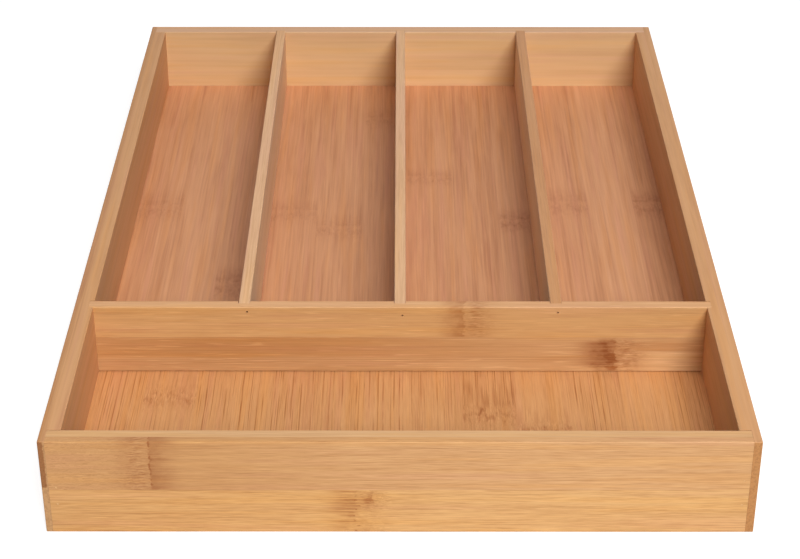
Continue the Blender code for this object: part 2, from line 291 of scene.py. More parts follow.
# Studio
LAMPS = (
    Lamp("key_lamp", Vector((0.55, -1.8, 1.5)), 1.1, 49.5),
    Lamp("top_lamp", Vector((0.0, 0.0, 2.5)), 1.2, 10.0),
)
LAMP_TARGET = Vector((0.0, 0.0, 0.0))
WHITE = (1.0, 1.0, 1.0, 1.0)
WORLD_STRENGTH = 0.135
FLOOR_HALF = 4.0
FLOOR_CELLS = 8
FLOOR_COLOUR = (0.80, 0.80, 0.80, 1.0)
FLOOR_SHOWN = (0.45, 0.45, 0.45, 1.0)
FLOOR_GLOW = 0.80


def linear(colour):
    """Turn a display colour into the linear values that a shader takes."""
    return tuple(((part + 0.055) / 1.055) ** 2.4 if part > 0.04045 else part / 12.92 for part in colour)


class Graph:
    """Short calls for building the nodes of a material or a world."""

    def __init__(self, owner):
        owner.use_nodes = True
        self.owner = owner
        self.tree = owner.node_tree

    def add(self, kind, **settings):
        node = self.tree.nodes.new(kind)
        for key, value in settings.items():
            setattr(node, key, value)
        return node

    def feed(self, socket, value):
        if isinstance(value, bpy.types.NodeSocket):
            self.tree.links.new(value, socket)
        else:
            socket.default_value = value

    def split(self, vector):
        """The three parts of a vector."""
        node = self.add("ShaderNodeSeparateXYZ")
        self.feed(node.inputs[0], vector)
        return node.outputs

    def toss(self, number, output="Value"):
        """Chance values from 0 to 1, the same ones each time for the same number."""
        node = self.add("ShaderNodeTexWhiteNoise", noise_dimensions="1D")
        self.feed(node.inputs["W"], number)
        return node.outputs[output]

    def math(self, operation, *values, clamp=False):
        node = self.add("ShaderNodeMath", operation=operation, use_clamp=clamp)
        for socket, value in zip(node.inputs, values):
            self.feed(socket, value)
        return node.outputs[0]

    def vector(self, operation, first, second):
        node = self.add("ShaderNodeVectorMath", operation=operation)
        self.feed(node.inputs[0], first)
        slot = "Scale" if operation == "SCALE" else 1
        self.feed(node.inputs[slot], second)
        return node.outputs["Value" if operation == "DOT_PRODUCT" else "Vector"]

    def total(self, *values):
        result = values[0]
        for value in values[1:]:
            result = self.math("ADD", result, value)
        return result

    def product(self, *values):
        result = values[0]
        for value in values[1:]:
            result = self.math("MULTIPLY", result, value)
        return result

    def between(self, value, low, high):
        """A value from 0 to 1, stretched over low to high."""
        return self.math("MULTIPLY_ADD", value, high - low, low)

    def centred(self, value, gain):
        """A noise that runs evenly above and below zero."""
        return self.between(value, -gain / 2, gain / 2)

    def smooth(self, value, low, high):
        """A soft step from 0 at low to 1 at high."""
        node = self.add("ShaderNodeMapRange", interpolation_type="SMOOTHSTEP")
        self.feed(node.inputs["Value"], value)
        self.feed(node.inputs["From Min"], low)
        self.feed(node.inputs["From Max"], high)
        return node.outputs["Result"]

    def bell(self, value, middle, reach):
        """1 at the middle, falling away on both sides."""
        away = self.math("DIVIDE", self.math("SUBTRACT", value, middle), reach)
        return self.math("EXPONENT", self.product(away, away, -1.0))

    def blend(self, factor, first, second, kind="MIX"):
        """Mix two colours. The node's inputs 6 and 7 and its output 2 are those for colours."""
        node = self.add("ShaderNodeMix", data_type="RGBA", blend_type=kind, clamp_factor=True)
        self.feed(node.inputs["Factor"], factor)
        for socket, value in ((node.inputs[6], first), (node.inputs[7], second)):
            self.feed(socket, value if isinstance(value, bpy.types.NodeSocket) else (*value, 1.0))
        return node.outputs[2]

    def tinted(self, factor, colour, tint):
        return self.blend(factor, colour, tint, "MULTIPLY")

    def stretched(self, place, grain, along, across, shift=0.0):
        """Places counted in streaks, and shifted to another part of the noise."""
        scale = [1 / across] * 3
        scale[grain] = 1 / along
        mapping = self.add("ShaderNodeMapping")
        self.feed(mapping.inputs["Vector"], place)
        mapping.inputs["Scale"].default_value = scale
        mapping.inputs["Location"].default_value = [shift * share for share in SHIFT_SHARES]
        return mapping.outputs["Vector"]

    def streaks(self, place, grain, along, across, shift, detail, output="Fac"):
        """Noise that is stretched along the grain."""
        node = self.add("ShaderNodeTexNoise")
        self.feed(node.inputs["Vector"], self.stretched(place, grain, along, across, shift))
        node.inputs["Scale"].default_value = 1.0
        node.inputs["Detail"].default_value = detail
        node.inputs["Roughness"].default_value = STREAK_ROUGHNESS
        return node.outputs[output]

    def sheets(self, value, spacing, shift, detail):
        """Noise that changes in one direction only, so that it draws straight lines."""
        node = self.add("ShaderNodeTexNoise", noise_dimensions="1D")
        self.feed(node.inputs["W"], self.math("MULTIPLY_ADD", value, 1 / spacing, shift))
        node.inputs["Scale"].default_value = 1.0
        node.inputs["Detail"].default_value = detail
        return node.outputs["Fac"]

    def either(self, factor, first, second):
        """The first shader where the factor is 0, and the second where it is 1."""
        node = self.add("ShaderNodeMixShader")
        self.feed(node.inputs["Fac"], factor)
        self.feed(node.inputs[1], first)
        self.feed(node.inputs[2], second)
        return node.outputs[0]

    def shown_to_eye(self):
        """1 for rays from the camera and those that mirror or pass straight on."""
        rays = self.add("ShaderNodeLightPath").outputs
        seen = self.total(rays["Is Camera Ray"], rays["Is Glossy Ray"], rays["Is Transmission Ray"])
        return self.math("MINIMUM", seen, 1.0)

    def surface(self, colour, rough, height, strength, relief):
        """Set a material's colour, roughness and bump, and return its shader."""
        shader = self.tree.nodes["Principled BSDF"]
        bump = self.add("ShaderNodeBump")
        bump.inputs["Strength"].default_value = strength
        bump.inputs["Distance"].default_value = relief
        self.feed(bump.inputs["Height"], height)
        self.feed(shader.inputs["Base Color"], colour)
        self.feed(shader.inputs["Roughness"], rough)
        self.feed(shader.inputs["Normal"], bump.outputs["Normal"])
        return shader


class Bamboo(Graph):
    """The nodes of one stave's material."""

    def __init__(self, stave, grain, across_axis, strips):
        super().__init__(bpy.data.materials.new(stave.name))
        self.stave = stave
        self.grain = grain
        self.across_axis = across_axis
        self.strips = strips
        self.seed = SEED_START + SEED_STEP * (sum(map(ord, stave.name)) % SEED_COUNT)
        coordinates = self.add("ShaderNodeTexCoord")
        self.place = coordinates.outputs["Object"]
        self.parts = self.split(self.place)
        self.along = self.parts[grain]
        self.across = self.parts[across_axis]
        self.facing = self.split(coordinates.outputs["Normal"])
        self.moved = self.vector("ADD", self.place, self.sideways(WANDER, WANDER_REACH))
        self.stain, self.pale, self.rest = None, None, None

    def figure(self, place, figure, coarse=1.0, output="Fac"):
        """One kind of streak along this stave's grain."""
        return self.streaks(place, self.grain, figure.along * coarse, figure.across * coarse,
                            self.seed + figure.draw, figure.detail, output)

    def sideways(self, figure, reach):
        """A chance shift across the grain, by up to half the reach either way."""
        push = [reach] * 3
        push[self.grain] = 0.0
        chance = self.vector("SUBTRACT", self.figure(self.place, figure, output="Color"), (0.5, 0.5, 0.5))
        return self.vector("MULTIPLY", chance, push)

    def toss_cells(self, cell, draw):
        """Three chance values for each cell of a row."""
        return self.split(self.toss(self.total(self.math("FLOOR", cell), self.seed + draw), "Color"))

    def pit_row(self, ahead):
        """Small pits in a row across the grain, one to a fibre bundle, each a little out of line."""
        cell = self.math("DIVIDE", self.across, PIT_SPACING)
        chance = self.toss_cells(cell, PIT_DRAW)
        aside = self.math("SUBTRACT", self.math("FRACT", cell), self.between(chance[0], PIT_FIRST, PIT_LAST))
        astray = self.math("MULTIPLY_ADD", chance[1], PIT_STRAY, ahead)
        narrow = self.bell(aside, 0.0, PIT_RADIUS / PIT_SPACING)
        short = self.bell(astray, PIT_STRAY / 2, PIT_STRETCH * PIT_RADIUS)
        return self.product(narrow, short, self.between(chance[2], PIT_FAINTEST, PIT_BOLDEST))

    def arch_row(self, ahead, wave):
        """Scale-like arches in a row across the grain, where the bundles bend through a node."""
        cell = self.math("DIVIDE", self.total(self.across, self.centred(wave, ARC_WAVE)), ARC_SPACING)
        chance = self.toss_cells(cell, ARC_DRAW)
        aside = self.math("SUBTRACT", self.math("FRACT", cell), 0.5)
        rise = self.between(chance[2], ARC_LOWEST, ARC_HIGHEST)
        bow = self.product(rise, aside, aside, -ARC_BOW)
        height = self.total(ahead, -ARC_PLACE, self.product(rise, -1.0), self.product(bow, -1.0))
        height = self.math("MULTIPLY_ADD", chance[1], ARC_STRAY, height)

        # Dividing by the arch's steepness keeps its stroke equally wide
        slope = self.product(rise, aside, 2 * ARC_BOW / ARC_SPACING)
        steep = self.math("SQRT", self.math("MULTIPLY_ADD", slope, slope, 1.0))
        return self.product(self.bell(self.math("DIVIDE", height, steep), 0.0, ARC_WIDTH),
                            self.between(chance[0], ARC_FAINTEST, ARC_BOLDEST))

    def node_marks(self, knuckle, pattern):
        """One node of the cane: its stain with painted shade in its wrinkles, painted highlights on them,
        its curl, and its rest from lines.
        """
        marks = knuckle.marks
        jag = self.centred(pattern["jag"], marks.jag)
        rag = self.centred(pattern["rag"], marks.rag)
        offset = self.total(self.along, -knuckle.along, jag, rag)
        ahead = self.product(offset, knuckle.fades / knuckle.size)
        aside = self.math("ABSOLUTE", self.math("SUBTRACT", self.across, knuckle.across))
        window = self.smooth(aside, knuckle.reach + knuckle.soft, knuckle.reach - knuckle.soft)
        past = self.smooth(ahead, -SCAR_WIDTH, 2 * SCAR_WIDTH)
        middle = self.bell(ahead, WRINKLE_PLACE, WRINKLE_LENGTH)
        blotch = self.math("MULTIPLY_ADD", pattern["blotch"], marks.mottle, 1.0 - marks.mottle / 2)
        trail = self.product(self.smooth(ahead, -TRAIL_LEAD, TRAIL_LEAD / 2),
                             self.smooth(ahead, TRAIL_LENGTH, TRAIL_LENGTH - 2 * TRAIL_FADE))
        # The wrinkles have no relief: painted shade marks their folds and painted highlights their ridges
        wrinkle_shade = self.smooth(pattern["wrinkle"], *WRINKLE_SHADE_STEP)
        pale_wrinkles = self.smooth(pattern["wrinkle"], *WRINKLE_HIGHLIGHT_STEP)
        stains_and_shade = (
            self.product(self.bell(ahead, 0.0, SCAR_WIDTH), pattern["broken"], marks.scar),
            self.product(past, self.smooth(ahead, STAIN_FAR, STAIN_NEAR), blotch, marks.stain),
            self.product(trail, pattern["trail"], marks.trail),
            self.product(self.bell(ahead, HALO_PLACE, HALO_LENGTH), blotch, marks.halo),
            self.product(middle, wrinkle_shade, WRINKLE_SHADE_SHARE * marks.wrinkle),
            self.product(self.arch_row(ahead, pattern["wave"]), pattern["broken"], marks.arcs),
            self.product(self.pit_row(ahead), marks.pits),
        )
        stain = self.product(self.total(*stains_and_shade), window)
        pale = self.product(middle, pale_wrinkles, window, marks.wrinkle)
        curl = self.product(self.bell(ahead, WRINKLE_PLACE, 2 * WRINKLE_LENGTH), window)
        rest = self.product(self.bell(ahead, ARC_PLACE, LINE_REST), window)
        return stain, pale, curl, rest

    def grow_nodes(self):
        """Lay the stave's nodes of the cane, and curl its fibres around them."""
        pattern = {
            "jag": self.figure(self.place, JAG),
            "rag": self.figure(self.place, RAG),
            "broken": self.smooth(self.figure(self.place, BROKEN), *BROKEN_STEP),
            "blotch": self.smooth(self.figure(self.place, BLOTCH), *BLOTCH_STEP),
            "trail": self.smooth(self.figure(self.moved, TRAIL), *TRAIL_STEP),
            "wrinkle": self.figure(self.moved, WRINKLE),
            "wave": self.figure(self.place, WAVE),
        }
        marks = [self.node_marks(knuckle, pattern) for knuckle in self.stave.knuckles]
        # The stain also holds painted shade, and the second value is painted highlight on the wrinkles
        self.stain, self.pale, curl, self.rest = (self.total(*kind) for kind in zip(*marks))
        swirl = self.sideways(SWIRL, CURL_REACH)
        self.moved = self.vector("ADD", self.moved, self.vector("SCALE", swirl, curl))

    def grow_fibres(self):
        """Draw the streaks that colour and relief share."""
        coarse = self.stave.look.coarse
        self.band = self.figure(self.moved, BAND)
        self.fibre = self.figure(self.moved, FIBRE, coarse)
        self.fine = self.figure(self.moved, FINE, coarse)
        slope = [SLANT] * 3
        slope[self.grain] = 0.0
        slope[self.across_axis] = 1.0
        sheet = self.vector("DOT_PRODUCT", self.moved, slope)
        self.thread = self.sheets(sheet, THREAD_SPACING * coarse, self.seed + THREAD_DRAW, THREAD_DETAIL)
        line = self.sheets(sheet, LINE_SPACING * coarse, self.seed + LINE_DRAW, LINE_DETAIL)
        faint = self.figure(self.moved, FAINT)
        self.line = self.product(self.smooth(line, *LINE_STEP), self.smooth(faint, *FAINT_STEP))

    def grain_value(self):
        """How much darker or paler than its tone the stave is, below and above zero."""
        look = self.stave.look
        fleck = self.smooth(self.figure(self.moved, FLECK, look.coarse), *FLECK_STEP)
        cloud = self.figure(self.place, CLOUD)
        depth = look.line
        shade = 0.0
        if self.strips:
            start = self.math("SUBTRACT", self.across, self.strips.start)
            cell = self.math("FLOOR", self.math("DIVIDE", start, self.strips.width))
            shade = self.centred(self.toss(self.total(cell, self.strips.shade_seed)), STRIP_SHADE)
            comb = self.toss(self.total(cell, self.strips.comb_seed))
            depth = self.between(comb, COMB_LEAST * look.line, COMB_MOST * look.line)
        if self.rest:
            calm = self.math("MULTIPLY_ADD", self.rest, -LINE_REST_SHARE, 1.0, clamp=True)
            depth = self.product(depth, calm)
        value = self.total(
            self.centred(self.band, look.band),
            self.centred(self.fibre, look.fibre),
            self.centred(self.fine, look.fine),
            self.centred(self.thread, look.thread),
            self.centred(cloud, CLOUD_GAIN),
            self.product(fleck, look.fleck),
            shade,
        )
        return self.math("SUBTRACT", value, self.product(self.line, depth))

    def patch_factor(self, patch):
        length = self.bell(self.along, patch.along, patch.length)
        aside = self.math("ABSOLUTE", self.math("SUBTRACT", self.across, patch.across))
        width = self.smooth(aside, *(share * patch.width for share in PATCH_EDGE))
        uneven = self.between(self.band, PATCH_LEAST, PATCH_MOST)
        return self.product(length, width, uneven, patch.strength)

    def long_grain_colour(self):
        """The colour of the faces along the grain."""
        stave = self.stave
        value = self.grain_value()
        hue = self.figure(self.moved, HUE)
        up = self.smooth(self.facing[Z], *TOP_STEP)
        colour = self.blend(up, linear(stave.tone), linear(stave.top))
        if stave.verge:
            verge = self.smooth(self.parts[X], stave.verge.inner, stave.verge.outer)
            colour = self.tinted(self.product(verge, up), colour, stave.verge.tint)
        colour = self.tinted(self.math("MULTIPLY", value, -TINT_GAIN, clamp=True), colour, DEEP_TINT)
        colour = self.tinted(self.math("MULTIPLY", value, TINT_GAIN, clamp=True), colour, PALE_TINT)
        colour = self.tinted(self.smooth(hue, *GOLD_STEP), colour, GOLD_TINT)
        colour = self.tinted(self.smooth(hue, *ROSE_STEP), colour, ROSE_TINT)
        for patch in stave.patches:
            colour = self.tinted(self.patch_factor(patch), colour, patch.tint)
        if self.stain:
            # Painted highlights on the wrinkles, then the stains together with painted shade
            colour = self.tinted(self.pale, colour, WRINKLE_HIGHLIGHT_TINT)
            colour = self.tinted(self.stain, colour, STAIN_AND_SHADE_TINT)
        return colour

    def end_grain_colour(self):
        """The colour of the cut ends, with their fibre bundles."""
        spots = self.add("ShaderNodeTexVoronoi")
        place = self.stretched(self.place, self.grain, END_BAND.along, BUNDLE_SPACING)
        self.feed(spots.inputs["Vector"], place)
        spots.inputs["Scale"].default_value = 1.0
        bundle = self.smooth(spots.outputs["Distance"], *BUNDLE_STEP)
        band = self.figure(self.place, END_BAND)
        dark = self.total(self.product(bundle, band, BUNDLE_SHARE),
                          self.product(self.smooth(band, *END_BAND_STEP), END_BAND_SHARE))
        tone = linear(self.stave.end)
        rim = self.stave.rim
        if rim:
            rag = self.centred(self.figure(self.place, RIM_RAG), rim.rag)
            inward = self.smooth(self.total(self.parts[X], rag), rim.place - rim.soft, rim.place + rim.soft)
            tone = self.blend(inward, tone, linear(rim.tone))
        return self.tinted(dark, tone, BUNDLE_TINT)


def bamboo(stave, grain, across_axis, strips=None):
    """A stave's material: straight fibres along the grain, with the cane's nodes."""
    graph = Bamboo(stave, grain, across_axis, strips)
    if stave.knuckles:
        graph.grow_nodes()
    graph.grow_fibres()
    is_end = graph.smooth(graph.math("ABSOLUTE", graph.facing[grain]), *END_STEP)
    colour = graph.blend(is_end, graph.long_grain_colour(), graph.end_grain_colour())
    rough = graph.between(graph.fibre, SMOOTHEST, ROUGHEST)
    height = graph.total(
        graph.product(graph.fibre, FIBRE_HEIGHT),
        graph.product(graph.fine, FINE_HEIGHT),
        graph.product(graph.line, LINE_HEIGHT),
    )
    shader = graph.surface(colour, rough, height, GRAIN_STRENGTH, GRAIN_RELIEF)
    shader.inputs["Specular IOR Level"].default_value = SHEEN
    return graph.owner


def small_stuff(stuff):
    """The material of a small part, a little uneven in tone, roughness and relief."""
    graph = Graph(bpy.data.materials.new(stuff.name))
    place = graph.add("ShaderNodeTexCoord").outputs["Object"]
    specks = graph.streaks(place, stuff.grain, stuff.along, stuff.across, stuff.draw, STUFF_DETAIL)
    colour = graph.blend(specks, linear(stuff.dark), linear(stuff.tone))
    rough = graph.between(specks, stuff.rough, stuff.rough + STUFF_ROUGH_RANGE)
    shader = graph.surface(colour, rough, specks, stuff.strength, stuff.relief)
    shader.inputs["Metallic"].default_value = stuff.metallic
    return graph.owner


def ring_of(half_wide, half_high, radii):
    """Points of a rectangle with rounded corners, one radius for each corner."""
    points = []
    for corner, (sign_a, sign_b) in enumerate(((1, 1), (-1, 1), (-1, -1), (1, -1))):
        radius = radii[corner]
        centre_a = sign_a * (half_wide - radius)
        centre_b = sign_b * (half_high - radius)
        for step in range(CORNER_STEPS + 1):
            angle = math.pi / 2 * (corner + step / CORNER_STEPS)
            points.append((centre_a + radius * math.cos(angle), centre_b + radius * math.sin(angle)))
    return points


def stations_along(length, end_ease):
    """Places along a bar, each with how far its section is drawn in."""
    ends = sorted((end_ease * (1 - math.cos(math.pi / 2 * step / CORNER_STEPS)),
                   end_ease * (1 - math.sin(math.pi / 2 * step / CORNER_STEPS)))
                  for step in range(CORNER_STEPS + 1))
    count = max(2, round((length - 2 * end_ease) / STATION_STEP))
    middles = [(end_ease + (length - 2 * end_ease) * step / count, 0.0) for step in range(1, count)]
    return [*ends, *middles, *((length - along, inset) for along, inset in reversed(ends))]


def corner_radii(along, inset, ease, wear_draw):
    """How round the four arrises are at one place along a bar."""
    radii = []
    for corner in range(4):
        wear = noise.noise(Vector((along / WEAR_LENGTH, corner * WEAR_CORNER_STEP, wear_draw)))
        radii.append(max(ease * (1 + WEAR_SHARE * wear) - inset, LEAST_EASE_SHARE * ease))
    return radii


def eased_bar(node, low, high, grain, ease, end_ease):
    """A planed bar whose arrises were rounded a little unevenly by sanding."""
    side_a, side_b = [axis for axis in (X, Y, Z) if axis != grain]
    middle = (low + high) / 2
    half_a = (high - low)[side_a] / 2
    half_b = (high - low)[side_b] / 2
    wear_draw = WEAR_START + WEAR_STEP * WEAR_ORDER.index(node)
    builder = bmesh.new()
    rings = []
    for along, inset in stations_along((high - low)[grain], end_ease):
        ring = []
        for a, b in ring_of(half_a - inset, half_b - inset, corner_radii(along, inset, ease, wear_draw)):
            point = [0.0, 0.0, 0.0]
            point[grain] = low[grain] + along
            point[side_a] = middle[side_a] + a
            point[side_b] = middle[side_b] + b
            ring.append(builder.verts.new(point))
        rings.append(ring)
    for ring, after in zip(rings, rings[1:]):
        for step in range(len(ring)):
            turn = (step + 1) % len(ring)
            builder.faces.new((ring[step], ring[turn], after[turn], after[step]))
    builder.faces.new(rings[0])
    builder.faces.new(rings[-1])
    bmesh.ops.recalc_face_normals(builder, faces=builder.faces)
    return piece_from(f"{node}_bamboo", builder)


def piece_from(name, builder):
    mesh = bpy.data.meshes.new(name)
    builder.to_mesh(mesh)
    builder.free()
    piece = bpy.data.objects.new(name, mesh)
    bpy.context.scene.collection.objects.link(piece)
    return piece


def add_block(builder, low, high):
    low, high = Vector(low), Vector(high)
    place = Matrix.Translation((low + high) / 2) @ Matrix.Diagonal((*(high - low), 1))
    bmesh.ops.create_cube(builder, size=1, matrix=place)


def add_bore(builder, start, end):
    """A round cutter between two points."""
    axis = end - start
    turn = axis.to_track_quat("Z", "Y").to_matrix().to_4x4()
    place = Matrix.Translation((start + end) / 2) @ turn
    bmesh.ops.create_cone(builder, cap_ends=True, segments=HOLE_SIDES, radius1=HOLE_RADIUS,
                          radius2=HOLE_RADIUS, depth=axis.length, matrix=place)


def carve(piece, fill_cutter):
    """Cut out of a piece whatever fill_cutter draws."""
    builder = bmesh.new()
    fill_cutter(builder)
    cutter = piece_from("cutter", builder)
    modifier = piece.modifiers.new("carve", "BOOLEAN")
    modifier.operation = "DIFFERENCE"
    modifier.solver = "EXACT"
    modifier.object = cutter
    shown = piece.evaluated_get(bpy.context.evaluated_depsgraph_get())
    old, piece.data = piece.data, bpy.data.meshes.new_from_object(shown)
    piece.modifiers.clear()
    bpy.data.meshes.remove(old)
    bpy.data.objects.remove(cutter)


def pin_nodes():
    return sorted(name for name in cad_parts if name.endswith("_pin"))


def pin_axis(pin):
    """Head and tail of a pin, the head being the end next to the outside or the bay."""
    low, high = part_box(pin)
    size = high - low
    axis = max((X, Y, Z), key=lambda way: size[way])
    head = (low + high) / 2
    tail = head.copy()
    runs_up_axis = head[axis] < 0 or pin.endswith("_long_front_pin")
    head[axis] = low[axis] if runs_up_axis else high[axis]
    tail[axis] = high[axis] if runs_up_axis else low[axis]
    return head, tail


def drill_pins(piece, low, high):
    """Bore a board for the pins that reach into its box."""
    def bores(builder):
        for pin in pin_nodes():
            head, tail = pin_axis(pin)
            way = (tail - head).normalized()
            if all(min(head[i], tail[i]) < high[i] and max(head[i], tail[i]) > low[i] for i in (X, Y, Z)):
                add_bore(builder, head - way * CUT_OVERRUN, tail + way * TIGHT)

    carve(piece, bores)


def finish_board(piece, node, seams, stave_at, materials):
    """Split a board's faces at its glue lines, give each its stave, and set it in the frame."""
    builder = bmesh.new()
    builder.from_mesh(piece.data)
    for axis, place in seams:
        normal = Vector((0, 0, 0))
        normal[axis] = 1
        geometry = [*builder.verts, *builder.edges, *builder.faces]
        bmesh.ops.bisect_plane(builder, geom=geometry, plane_co=place * normal, plane_no=normal)
    piece.data.materials.clear()
    for material in materials:
        piece.data.materials.append(material)
    for face in builder.faces:
        face.material_index = stave_at(face.calc_center_median())
    builder.to_mesh(piece.data)
    builder.free()
    shade(piece)
    weighted = piece.modifiers.new("weighted_normals", "WEIGHTED_NORMAL")
    weighted.keep_sharp = True
    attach(piece, ROOT)
    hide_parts(node)


def shade(piece):
    piece.data.shade_smooth()
    piece.data.set_sharp_from_angle(angle=SHARP_ANGLE)


LEFT_VERGE = Verge(-154.6 * MM, -150.4 * MM, (0.80, 0.74, 0.66))
LEFT_RIM = Rim(-152.6 * MM, 0.3 * MM, 1.2 * MM, PALE_END_TONE)
SIDE_STAVES = {
    "left": (
        Stave("left_outer_upper", WALL_TONE, SIDE_TOP_TONE, DARK_END_TONE, EDGE_LOOK,
              (Knuckle(-60 * MM, 33 * MM, 9 * MM, 2 * MM, 1, 0.9, OUTER_MARKS),),
              rim=LEFT_RIM, verge=LEFT_VERGE),
        Stave("left_outer_lower", WALL_TONE, SIDE_TOP_TONE, TAN_END_TONE, EDGE_LOOK,
              (Knuckle(95 * MM, 12 * MM, 11 * MM, 1.5 * MM, -1, 1.0, OUTER_MARKS),)),
        Stave("left_inner_upper", WALL_TONE, SIDE_TOP_TONE, END_TONE, WALL_LOOK, verge=LEFT_VERGE),
        Stave("left_inner_lower", WALL_TONE, SIDE_TOP_TONE, END_TONE, WALL_LOOK),
    ),
    "right": (
        Stave("right_outer_upper", WALL_TONE, SIDE_TOP_TONE, ORANGE_END_TONE, WALL_LOOK,
              (Knuckle(40 * MM, 33 * MM, 9 * MM, 2 * MM, -1, 0.9, OUTER_MARKS),)),
        Stave("right_outer_lower", WALL_TONE, SIDE_TOP_TONE, ORANGE_END_TONE, EDGE_LOOK,
              (Knuckle(-130 * MM, 12 * MM, 11 * MM, 1.5 * MM, 1, 1.0, OUTER_MARKS),)),
        Stave("right_inner_upper", WALL_TONE, SIDE_TOP_TONE, END_TONE, WALL_LOOK),
        Stave("right_inner_lower", WALL_TONE, SIDE_TOP_TONE, END_TONE, WALL_LOOK),
    ),
}


def add_side_board(side):
    node = f"{side}_side_board"
    low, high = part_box(node)
    front_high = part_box("front_board")[1]
    back_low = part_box("back_board")[0]
    cross_low, cross_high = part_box("cross_divider")
    base_low, base_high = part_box("base_panel")
    inner = min(abs(low.x), abs(high.x))
    lip = max(abs(low.x), abs(high.x)) - LIP[side]
    above = high.z + CUT_OVERRUN
    piece = eased_bar(node, low, high, Y, EASE, END_EASE)

    def cut_outwards(builder, far, low_yz, high_yz):
        """A block from inside the tray out to some distance from its middle."""
        near_x, far_x = sorted((SIDES[side] * (inner - CUT_OVERRUN), SIDES[side] * far))
        add_block(builder, (near_x, *low_yz), (far_x, *high_yz))

    def groove(builder):
        cut_outwards(builder, base_high.x + TIGHT,
                     (base_low.y - TIGHT, base_low.z - TIGHT), (base_high.y + TIGHT, base_high.z + TIGHT))

    def rabbets_and_housing(builder):
        cut_outwards(builder, lip, (low.y - CUT_OVERRUN, -CUT_OVERRUN), (front_high.y + TIGHT, above))
        cut_outwards(builder, lip, (back_low.y - TIGHT, -CUT_OVERRUN), (high.y + CUT_OVERRUN, above))
        cut_outwards(builder, cross_high.x + TIGHT,
                     (cross_low.y - TIGHT, cross_low.z - TIGHT), (cross_high.y + TIGHT, above))

    def stave_at(centre):
        return 2 * (abs(centre.x) < lip) + (centre.z < SIDE_SEAM_HEIGHT)

    carve(piece, groove)
    carve(piece, rabbets_and_housing)
    drill_pins(piece, low, high)
    seams = ((X, SIDES[side] * lip), (Z, SIDE_SEAM_HEIGHT))
    materials = [bamboo(stave, Y, Z) for stave in SIDE_STAVES[side]]
    finish_board(piece, node, seams, stave_at, materials)


def lip_span():
    """Ends of the front and back boards, which fit between the lips."""
    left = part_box("left_side_board")[0].x + LIP["left"] + TIGHT
    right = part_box("right_side_board")[1].x - LIP["right"] - TIGHT
    return left, right


FRONT_STAVES = (
    Stave("front_face_upper", FACE_TONE, FACE_TOP_TONE, END_TONE, FACE_LOOK,
          (Knuckle(-107.5 * MM, 36 * MM, 16 * MM, 3 * MM, 1, 1.0, FACE_MARKS),
           Knuckle(-128 * MM, 36 * MM, 16 * MM, 3 * MM, 1, 2.5, CALM_MARKS)),
          (Patch(-105 * MM, 35 * MM, 85 * MM, 60 * MM, (0.90, 0.845, 0.74), 1.0),)),
    Stave("front_face_lower", FACE_GOLD_TONE, FACE_GOLD_TONE, END_TONE, FACE_LOW_LOOK,
          (Knuckle(-19 * MM, 10 * MM, 16 * MM, 3 * MM, -1, 1.0, PITTED_MARKS),
           Knuckle(-11.6 * MM, 18 * MM, 3.5 * MM, 1.5 * MM, -1, 0.5, STREAKED_MARKS)),
          (Patch(-110 * MM, 10 * MM, 90 * MM, 60 * MM, (0.955, 0.905, 0.83), 1.0),
           Patch(-21 * MM, 10 * MM, 14 * MM, 60 * MM, (1.0, 0.975, 0.88), 1.0))),
    Stave("front_rear_upper", WALL_TONE, FRONT_TOP_TONE, END_TONE, EDGE_LOOK),
    Stave("front_rear_lower", WALL_TONE, FRONT_TOP_TONE, END_TONE, WALL_LOOK),
)


BACK_STAVES = (
    Stave("back_upper", BACK_TONE, BACK_TOP_TONE, END_TONE, BACK_LOOK),
    Stave("back_lower", BACK_TONE, BACK_TOP_TONE, END_TONE, BACK_LOOK),
    Stave("back_outer_upper", BACK_TONE, BACK_TOP_TONE, END_TONE, WALL_LOOK,
          (Knuckle(-50 * MM, 34 * MM, 9 * MM, 2 * MM, 1, 1.0, OUTER_MARKS),)),
    Stave("back_outer_lower", BACK_TONE, BACK_TOP_TONE, END_TONE, EDGE_LOOK,
          (Knuckle(80 * MM, 11 * MM, 10 * MM, 1.5 * MM, -1, 1.0, OUTER_MARKS),)),
)


def add_end_board(node, seam_height, staves):
    """The front or the back board, with the base's groove cut from its inner face."""
    low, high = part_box(node)
    low.x, high.x = lip_span()
    base_low, base_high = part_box("base_panel")
    is_front = node == "front_board"
    if is_front:
        layer_place = low.y + FACING_LAYER
        groove_start, groove_end = base_low.y - TIGHT, high.y + CUT_OVERRUN
    else:
        layer_place = high.y - FACING_LAYER
        groove_start, groove_end = low.y - CUT_OVERRUN, base_high.y + TIGHT
    piece = eased_bar(node, low, high, X, EASE, BUTT_EASE)

    def groove(builder):
        add_block(builder, (low.x - CUT_OVERRUN, groove_start, base_low.z - TIGHT),
                  (high.x + CUT_OVERRUN, groove_end, base_high.z + TIGHT))

    def stave_at(centre):
        return 2 * (centre.y > layer_place) + (centre.z < seam_height)

    carve(piece, groove)
    if not is_front:
        carve(piece, divider_housings)
    drill_pins(piece, low, high)
    seams = ((Y, layer_place), (Z, seam_height))
    finish_board(piece, node, seams, stave_at, [bamboo(stave, X, Z) for stave in staves])


def divider_housings(builder):
    """Slots that take the long dividers, a hair wide on their left."""
    for name in LONG_DIVIDERS:
        low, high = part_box(f"{name}_long_divider")
        add_block(builder, (low.x - DIVIDER_NOTCH, low.y - TIGHT, low.z - CUT_OVERRUN),
                  (high.x + TIGHT, high.y + TIGHT, high.z + CUT_OVERRUN))


